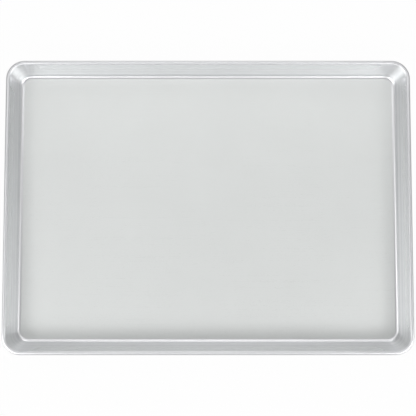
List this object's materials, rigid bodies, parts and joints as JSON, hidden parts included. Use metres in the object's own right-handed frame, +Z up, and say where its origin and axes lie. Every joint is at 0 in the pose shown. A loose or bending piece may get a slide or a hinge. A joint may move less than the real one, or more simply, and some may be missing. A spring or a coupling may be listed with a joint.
{
  "type": "rectangular sheet pan",
  "caption": "Shallow rectangular aluminium baking pan with a flat floor, flared walls, rounded corners and an edge rolled outwards round a stiffening wire.",
  "frame": {"origin": "centre of the flat underside, on the surface that the pan stands on", "axes": "+X along the pan's length, +Y across its width, +Z up out of the open side"},
  "size_m": [0.4572, 0.3302, 0.0254],
  "materials": {
    "pan_aluminium": "bare satin sheet, with fine drawing lines along the walls",
    "wire_steel": "galvanised wire"
  },
  "bodies": {
    "root": {"pan_shell": "pan_aluminium", "rim_wire": "wire_steel"}
  },
  "joints": []
}
